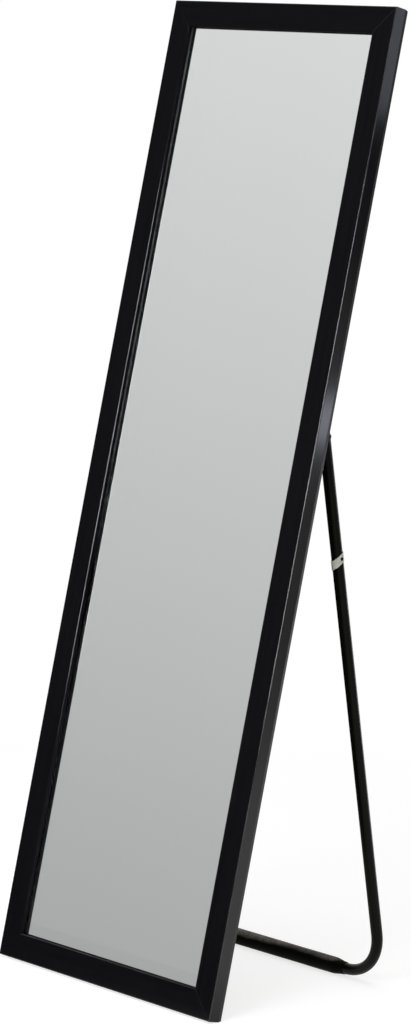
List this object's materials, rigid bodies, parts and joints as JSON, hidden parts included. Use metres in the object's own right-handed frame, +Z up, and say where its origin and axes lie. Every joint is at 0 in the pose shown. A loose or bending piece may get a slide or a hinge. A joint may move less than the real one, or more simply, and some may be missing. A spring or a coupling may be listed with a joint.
{
  "type": "free-standing dressing mirror",
  "caption": "Tall rectangular mirror in a flat black mitred frame, leaning back on a folding U-shaped tube leg hinged behind it.",
  "frame": {"origin": "on the floor, in the middle of the outline of the open mirror seen from above", "axes": "+Z up, the glass faces -Y and leans back towards +Y, +X to the right as seen from the front"},
  "size_m": [0.5, 0.4314, 1.5813],
  "materials": {
    "frame_paint": "satin black painted moulding",
    "glass": "silvered float glass",
    "packing": "brown packing board",
    "hardboard": "brown hardboard, smooth side out",
    "zinc": "bright zinc plate",
    "black_steel": "black gloss powder coat",
    "black_plastic": "black moulded plastic",
    "black_rubber": "black rubber hose",
    "pale_strip": "pale grey-cream strip"
  },
  "bodies": {
    "mirror": {"frame_top_rail": "frame_paint", "frame_bottom_rail": "frame_paint", "frame_left_stile": "frame_paint", "frame_right_stile": "frame_paint", "corner_v_nails": "zinc", "mirror_glass": "glass", "packing_sheet": "packing", "back_panel": "hardboard", "retaining_points": "zinc", "left_hinge_bracket": "black_steel", "right_hinge_bracket": "black_steel", "bracket_screws": "zinc", "pivot_bolts": "black_steel", "pivot_washers": "zinc", "lock_nuts": "zinc"},
    "leg": {"leg_tube": "black_steel", "leg_end_plugs": "black_plastic", "foot_sleeve": "black_rubber", "clip_band": "pale_strip", "clip_rivet": "black_steel"}
  },
  "joints": [
    {"name": "leg_fold", "type": "hinge", "parent": "mirror", "child": "leg", "pos_m": [0, -0.01969, 0.9095], "axis": [1, 0, 0], "range_deg": [-23.4, 0]}
  ]
}
